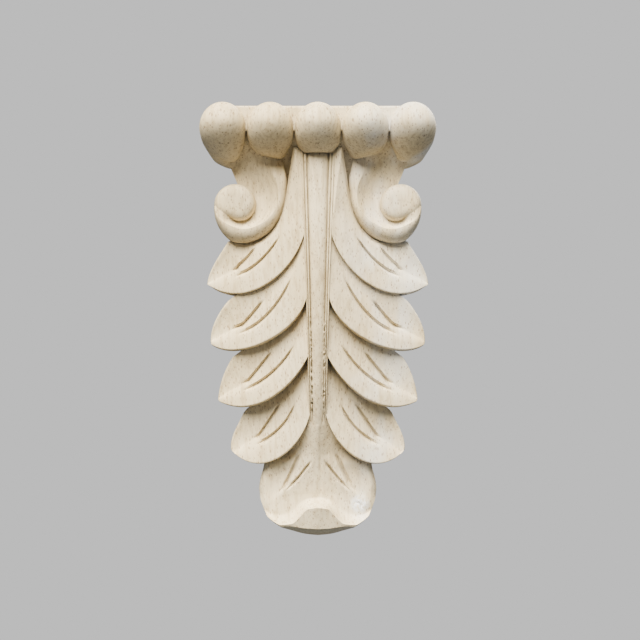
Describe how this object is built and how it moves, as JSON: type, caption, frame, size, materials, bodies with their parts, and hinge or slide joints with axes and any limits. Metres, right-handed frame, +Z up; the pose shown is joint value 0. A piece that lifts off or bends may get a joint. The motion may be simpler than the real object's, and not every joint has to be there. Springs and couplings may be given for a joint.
{
  "type": "carved wood applique",
  "caption": "Flat-backed carved wood applique: a row of beads over two volutes and a hanging acanthus leaf with a rolled tip, fixed to furniture, mantels or panels.",
  "frame": {"origin": "centre of the flat back face, where the applique is fixed", "axes": "+X to the viewer's right, +Z up, the carving faces -Y and the flat back faces +Y"},
  "size_m": [0.075, 0.028, 0.14],
  "materials": {
    "wood": "bare sanded pale wood, matt"
  },
  "bodies": {
    "root": {"applique": "wood"}
  },
  "joints": []
}
